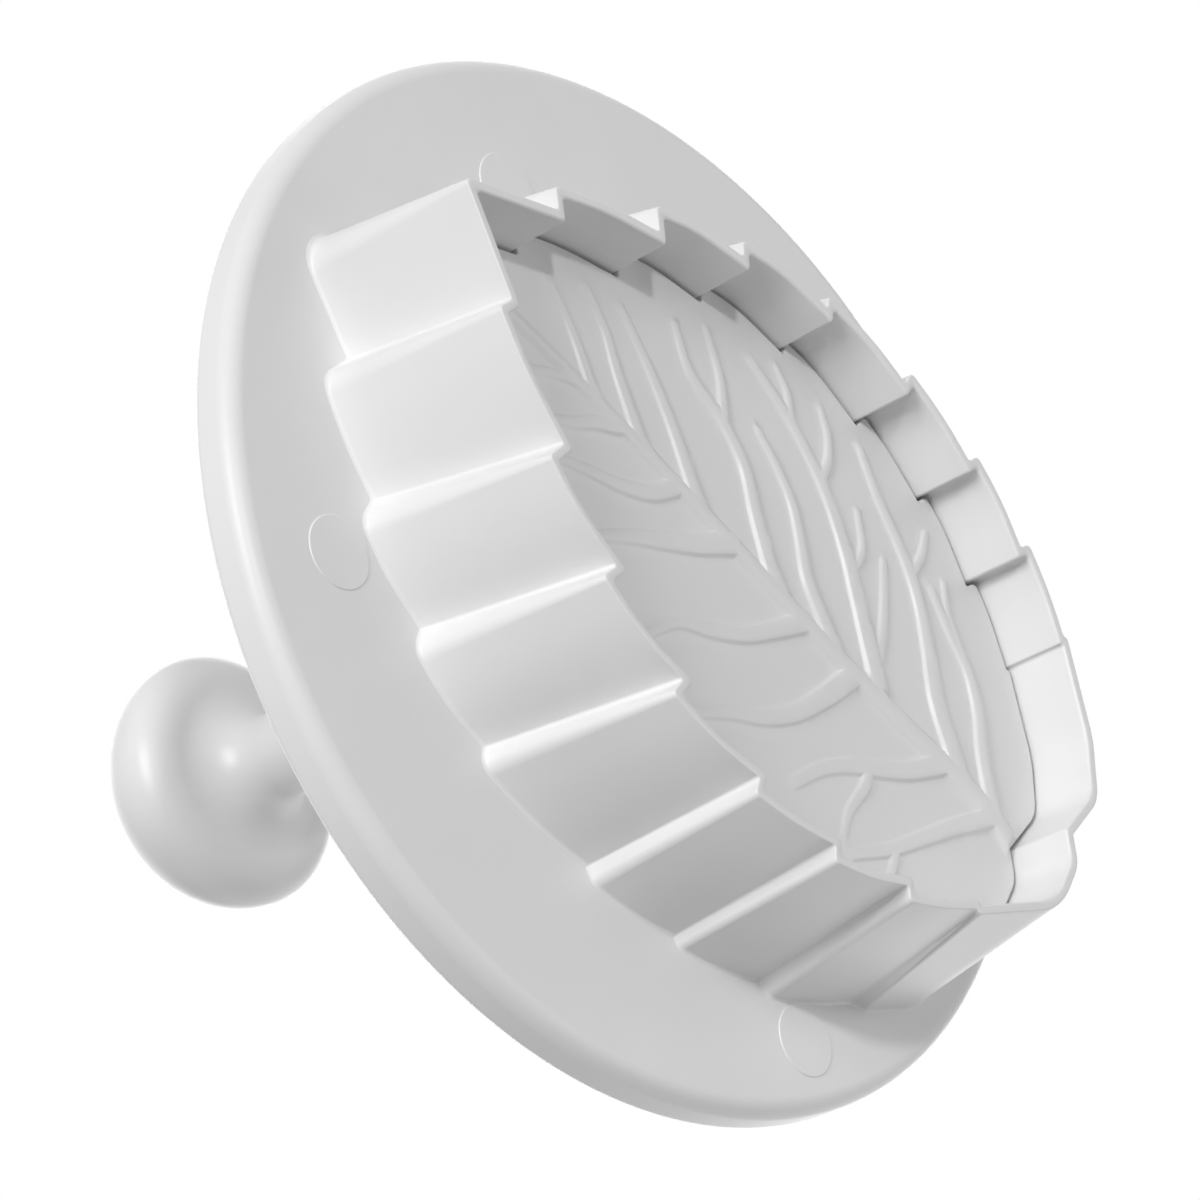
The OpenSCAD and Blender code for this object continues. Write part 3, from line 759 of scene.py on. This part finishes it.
def back_webs(back_z):
    """Webs behind the plate: one along the midrib and three across it."""
    half, foot, gap = BACK_WEB_THICKNESS / 2, 0.4, BACK_WEB_GAP
    boxes = [(-half, half, STEM_Y + gap, STEM_Y + LEAF_LENGTH - BACK_WEB_TIP_GAP)]
    boxes += [(gap - half_width(y), half_width(y) - gap, y - half, y + half) for y in CROSS_WEBS_Y]
    piece = None
    for x0, x1, y0, y1 in boxes:
        points = [
            (x + LEAF_SHIFT, y, z)
            for d, z in ((0.0, back_z - foot), (BACK_WEB_DRAFT, back_z + BACK_WEB_HEIGHT))
            for x, y in ((x0 + d, y0 + d), (x1 - d, y0 + d), (x1 - d, y1 - d), (x0 + d, y1 - d))
        ]
        web = solid_from("web", points, [(3, 2, 1, 0), (4, 5, 6, 7)] + bands(2, 4))
        if piece is None:
            piece = web
        else:
            join(piece, web)
    return piece


def boss_and_shaft(back_z):
    """The boss behind the plate and the shaft that stands on it, turned as one."""
    foot = 1.0
    section = (
        [(BOSS_RADIUS, back_z - foot), (BOSS_RADIUS, BOSS_TOP_Z - BOSS_CHAMFER)]
        + [(BOSS_RADIUS - BOSS_CHAMFER, BOSS_TOP_Z), (SHAFT_RADIUS, BOSS_TOP_Z)]
        + [(SHAFT_RADIUS, z) for z in SHAFT_ROWS_Z]
        + [(SHAFT_RADIUS, SHAFT_TOP_Z - SHAFT_CHAMFER), (SHAFT_RADIUS - SHAFT_CHAMFER, SHAFT_TOP_Z)]
    )
    return turned("shaft", section, SHAFT_SIDES, capped=True)


def put_on_face(piece, border):
    """Takes the plain face off the plate and puts the veined one in its place."""
    level, upright, weld = 1e-7, 0.999, 2e-6
    bm = bmesh.new()
    bm.from_mesh(piece.data)
    plain = [
        f for f in bm.faces
        if abs(f.calc_center_median().z - PLATE_Z * MM) < level and abs(f.normal.z) > upright
    ]
    bmesh.ops.delete(bm, geom=plain, context="FACES")
    flat, height, triangles = veined_face(border)
    fresh = [
        bm.verts.new(((x + LEAF_SHIFT) * MM, y * MM, (PLATE_Z - h) * MM))
        for (x, y), h in zip(flat, height)
    ]
    for t in triangles:
        bm.faces.new([fresh[i] for i in t])
    bmesh.ops.remove_doubles(bm, verts=bm.verts, dist=weld)
    bmesh.ops.recalc_face_normals(bm, faces=bm.faces)
    bm.to_mesh(piece.data)
    bm.free()
    return piece


# Polished white ABS: nearly the same white, with a tighter gloss that draws a bright line along the
# lit side of each vein. Its grain is faint and is drawn coarser than it is, like the satin one.
polished_abs = moulded_plastic(
    "polished_white_abs", "E8E8E8", "E5E5E5",
    roughness=0.34, grain_mm=0.35, grain_depth_mm=0.004, flow_mm=18.0,
)

veined_plate = plate_moulding()
veined_plate.data.materials.clear()
veined_plate.data.materials.append(polished_abs)
smooth(veined_plate, crease=40)
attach(veined_plate, "plunger")
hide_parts("embossing_plate")


# The return spring is wound from 0.8 mm stainless spring wire, drawn bright, and stands in the
# collar's seat round the shaft. Its end curls lie nearly closed, as on a bought compression spring.

WIRE_RADIUS = 0.4
SPRING_RADIUS = 3.3
SPRING_TURNS = 14
SPRING_END_PITCH = 0.88
SPRING_STEPS = 40
WIRE_SIDES = 12
# At rest the spring's ends stand 0.02 mm off the seat and the knob's neck
SPRING_LOW_Z = SEAT_Z + 0.02
SPRING_HIGH_Z = 47.98


def spring_height(turn):
    """Height of the wire's middle after so many turns: slow in the end curls, even between."""
    rise = SPRING_HIGH_Z - SPRING_LOW_Z - 2 * WIRE_RADIUS
    open_pitch = (rise - 2 * SPRING_END_PITCH) / (SPRING_TURNS - 2)
    if turn < 1:
        climb = SPRING_END_PITCH * turn
    elif turn > SPRING_TURNS - 1:
        climb = rise - SPRING_END_PITCH * (SPRING_TURNS - turn)
    else:
        climb = SPRING_END_PITCH + open_pitch * (turn - 1)
    return SPRING_LOW_Z + WIRE_RADIUS + climb


def wound_spring():
    """One unbroken wire, wound to the right."""
    round_step = 2 * math.pi * SPRING_RADIUS / SPRING_STEPS
    rings = []
    for i in range(SPRING_STEPS * SPRING_TURNS + 1):
        a = 2 * math.pi * i / SPRING_STEPS
        out = Vector((math.cos(a), math.sin(a), 0))
        high = spring_height(min(SPRING_TURNS, (i + 0.5) / SPRING_STEPS))
        low = spring_height(max(0, (i - 0.5) / SPRING_STEPS))
        along = Vector((-math.sin(a) * round_step, math.cos(a) * round_step, high - low)).normalized()
        up = out.cross(along)
        middle = out * SPRING_RADIUS + Vector((0, 0, spring_height(i / SPRING_STEPS)))
        ring = []
        for k in range(WIRE_SIDES):
            b = 2 * math.pi * k / WIRE_SIDES
            ring.append(middle + WIRE_RADIUS * (math.cos(b) * out + math.sin(b) * up))
        rings.append(ring)
    return ring_solid("return_coil", rings, capped=True)


DRAW_LINES_MM = 0.8
DRAW_LINES_SQUEEZE = 9.0


def spring_wire():
    """Drawn stainless wire, with a noise squeezed along the axis into lines that follow the coils."""
    material = bpy.data.materials.new("drawn_stainless_wire")
    material.use_nodes = True
    tree = material.node_tree
    tree.nodes.clear()
    place = add(tree, "ShaderNodeTexCoord")
    squeeze = add(tree, "ShaderNodeMapping", {
        "Vector": (place, "Object"), "Scale": (1.0, 1.0, DRAW_LINES_SQUEEZE),
    })
    lines = add(tree, "ShaderNodeTexNoise", {
        "Vector": (squeeze, "Vector"), "Scale": 1 / (DRAW_LINES_MM * MM),
        "Detail": 2.0, "Roughness": 0.5,
    })
    colour = add(tree, "ShaderNodeMix", {
        0: (lines, "Fac"), 6: linear("B4B4B2"), 7: linear("CBCBC9"),
    }, data_type="RGBA")
    polish = add(tree, "ShaderNodeMapRange", {
        "Value": (lines, "Fac"), "From Min": 0.3, "From Max": 0.7, "To Min": 0.2, "To Max": 0.34,
    })
    bump = add(tree, "ShaderNodeBump", {
        "Height": (lines, "Fac"), "Strength": 0.3, "Distance": 0.004 * MM,
    })
    shader = add(tree, "ShaderNodeBsdfPrincipled", {
        "Base Color": (colour, 2), "Roughness": (polish, "Result"), "Normal": (bump, "Normal"),
        "Metallic": 1.0,
    })
    add(tree, "ShaderNodeOutputMaterial", {"Surface": (shader, "BSDF")})
    return material


# Stainless wire drawn bright: the eye sees a clean grey metal with fine lines that run along it.
# The lines are drawn coarser than the die leaves them, so that they show.
return_coil = wound_spring()
return_coil.data.materials.append(spring_wire())
smooth(return_coil, crease=60)
settle(return_coil)
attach(return_coil, "cutter")
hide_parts("return_spring")
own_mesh(return_coil)


# The knob is moulded in white ABS with a polished dome for the palm, a hollow throat under it and
# a neck that is bored for the shaft and pressed on.

KNOB_RADIUS = 12.0
NECK_RADIUS = 4.0
NECK_CHAMFER = 0.3
NECK_Z = 48.0
NECK_ROW_Z = 58.0
HEAD_Z = 72.3
DOME_HEIGHT = 8.7
UNDER_HEIGHT = 3.4
THROAT_RADIUS = 4.4
DOME_START = 88.5
DOME_ROWS = 32
UNDER_ROWS = 16
THROAT_ROWS = 14
KNOB_SIDES = 144


def knob_section():
    """Half section of the knob from the top of its dome, round the rim, down the neck and the bore."""
    dome = [
        (KNOB_RADIUS * math.cos(math.radians(a)), HEAD_Z + DOME_HEIGHT * math.sin(math.radians(a)))
        for a in [DOME_START - DOME_START * k / DOME_ROWS for k in range(DOME_ROWS + 1)]
    ]
    throat_x = NECK_RADIUS + THROAT_RADIUS
    throat_z = HEAD_Z - UNDER_HEIGHT - THROAT_RADIUS
    under = [
        (throat_x + (KNOB_RADIUS - throat_x) * math.cos(math.radians(a)),
         HEAD_Z - UNDER_HEIGHT * math.sin(math.radians(a)))
        for a in [90 * k / UNDER_ROWS for k in range(1, UNDER_ROWS + 1)]
    ]
    throat = arc(throat_x, throat_z, THROAT_RADIUS, 90, 180, THROAT_ROWS)[1:]
    neck = [
        (NECK_RADIUS, NECK_ROW_Z),
        (NECK_RADIUS, NECK_Z + NECK_CHAMFER),
        (NECK_RADIUS - NECK_CHAMFER, NECK_Z),
    ]
    bore = [(SHAFT_RADIUS, NECK_Z), (SHAFT_RADIUS, SHAFT_TOP_Z)]
    return dome + under + throat + neck + bore


def turned_knob():
    """The section turned, with the dome and the end of the bore closed on the axis."""
    section, n = knob_section(), KNOB_SIDES
    points = [p for r, z in section for p in circle(r, z, n)]
    faces = bands(len(section), n)
    last = (len(section) - 1) * n
    for start, z in ((0, HEAD_Z + DOME_HEIGHT), (last, SHAFT_TOP_Z)):
        points.append((0.0, 0.0, z))
        faces += [(start + k, start + (k + 1) % n, len(points) - 1) for k in range(n)]
    return solid_from("push_knob", points, faces)


# White ABS off a polished tool, dulled a little by hands: a broad, soft highlight on a clean white.
# Its white is set a shade greyer than the cutter's: painted shade that dims the knob, which is the
# same plastic.
# It has the faintest grain of the three, so that the dome reads as one even surface.
gloss_abs = moulded_plastic(
    "gloss_white_abs", "E6E6E6", "E4E4E4",
    roughness=0.38, grain_mm=0.4, grain_depth_mm=0.001, flow_mm=16.0,
)

push_knob = turned_knob()
push_knob.data.materials.append(gloss_abs)
smooth(push_knob, crease=35)
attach(push_knob, "plunger")
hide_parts("knob")


# A plain pale floor on which the cutter stands. It is seen from above only, so that the camera can
# look at the leaf from under it.

FLOOR_REACH = 1500.0


def pale_floor():
    """Matt white paint, clear from below."""
    material = bpy.data.materials.new("pale_floor")
    material.use_nodes = True
    tree = material.node_tree
    tree.nodes.clear()
    side = add(tree, "ShaderNodeNewGeometry")
    paint = add(tree, "ShaderNodeBsdfPrincipled", {
        "Base Color": linear("F4F4F4"), "Roughness": 0.8, "IOR": 1.45,
    })
    clear = add(tree, "ShaderNodeBsdfTransparent")
    seen = add(tree, "ShaderNodeMixShader", {
        0: (side, "Backfacing"), 1: (paint, "BSDF"), 2: (clear, "BSDF"),
    })
    add(tree, "ShaderNodeOutputMaterial", {"Surface": (seen, "Shader")})
    return material


floor_corners = [
    (x * FLOOR_REACH, y * FLOOR_REACH, 0) for x, y in ((-1, -1), (1, -1), (1, 1), (-1, 1))
]
floor = solid_from("floor", floor_corners, [(0, 1, 2, 3)])
floor.data.materials.append(pale_floor())
if floor.data.polygons[0].normal.z < 0:
    floor.data.flip_normals()
floor.visible_diffuse = False
floor.visible_glossy = False
floor.visible_transmission = False
floor.visible_shadow = False


# The studio: a white room, a large soft lamp off the leaf's tip, a small flash beside it that draws
# the crisp shadows, and large weak lamps that stand for walls, table and ceiling.

ROOM_STRENGTH = 0.19
BACKDROP_STRENGTH = 1.0
LAMP_DISTANCE = 2500
AIM_Z = 20


def white_room():
    """A dim white room for the light, shown as full white to the camera and in reflections."""
    world = bpy.data.worlds.new("white_room")
    world.use_nodes = True
    tree = world.node_tree
    tree.nodes.clear()
    path = add(tree, "ShaderNodeLightPath")
    direct = add(tree, "ShaderNodeMath", {
        0: (path, "Is Camera Ray"), 1: (path, "Is Glossy Ray"),
    }, operation="MAXIMUM")
    shown = add(tree, "ShaderNodeMath", {
        0: (direct, "Value"), 1: (path, "Is Transmission Ray"),
    }, operation="MAXIMUM")
    room = add(tree, "ShaderNodeBackground", {"Color": linear("FFFFFF"), "Strength": ROOM_STRENGTH})
    backdrop = add(tree, "ShaderNodeBackground", {
        "Color": linear("FFFFFF"), "Strength": BACKDROP_STRENGTH,
    })
    mixed = add(tree, "ShaderNodeMixShader", {
        0: (shown, "Value"), 1: (room, "Background"), 2: (backdrop, "Background"),
    })
    add(tree, "ShaderNodeOutputWorld", {"Surface": (mixed, "Shader")})
    return world


def soft_lamp(name, direction, width, watts):
    """A square soft lamp in a direction from the cutter, pointed at its middle."""
    lamp = bpy.data.lights.new(name, "AREA")
    lamp.shape = "SQUARE"
    lamp.size = width * MM
    lamp.energy = watts
    holder = bpy.data.objects.new(name, lamp)
    bpy.context.scene.collection.objects.link(holder)
    away = Vector(direction).normalized()
    holder.location = Vector((0, 0, AIM_Z * MM)) + away * LAMP_DISTANCE * MM
    holder.rotation_euler = away.to_track_quat("Z", "Y").to_euler()
    holder.visible_camera = False


bpy.context.scene.world = white_room()
# Name, direction from the cutter, width in millimetres and watts
for lamp in (
    ("key_lamp", (0.33, 0.9, -0.27), 1100, 38.8),
    ("flash_lamp", (0.174, 0.594, -0.785), 150, 14.0),
    ("left_wall", (0.28, 0.65, 0.71), 2500, 8.9),
    ("right_wall", (-0.28, -0.65, -0.71), 2500, 16.1),
    ("table_light", (0.66, -0.66, 0.35), 2500, 10.8),
    ("table_front", (0.0, -0.95, 0.3), 2500, 12.5),
    ("rear_wall", (-0.7, -0.37, 0.61), 2500, 25.0),
    ("ceiling", (-0.35, -0.25, 0.9), 2000, 16.0),
):
    soft_lamp(*lamp)


# The camera looks up at the leaf from in front of the cutting edge and a little to one side, with a
# long lens, as in a close product photograph.

LENS_MM = 150
SENSOR_MM = 36


def product_camera():
    """The camera, from the axes of its view and its place."""
    lens = bpy.data.cameras.new("product_camera")
    lens.lens = LENS_MM
    lens.sensor_width = SENSOR_MM
    lens.clip_start = 0.01
    holder = bpy.data.objects.new("product_camera", lens)
    bpy.context.scene.collection.objects.link(holder)
    # The right, up and backward directions of the view, and its place in millimetres
    right = Vector((-0.27559, -0.64770, -0.71031))
    up = Vector((-0.66000, 0.66472, -0.35006))
    back = Vector((0.69889, 0.37233, -0.61068))
    place = Vector((300.0, 159.6, -237.9)) * MM
    holder.matrix_world = Matrix((
        (right.x, up.x, back.x, place.x),
        (right.y, up.y, back.y, place.y),
        (right.z, up.z, back.z, place.z),
        (0, 0, 0, 1),
    ))
    bpy.context.scene.camera = holder


product_camera()
bpy.context.scene.view_settings.view_transform = "Standard"
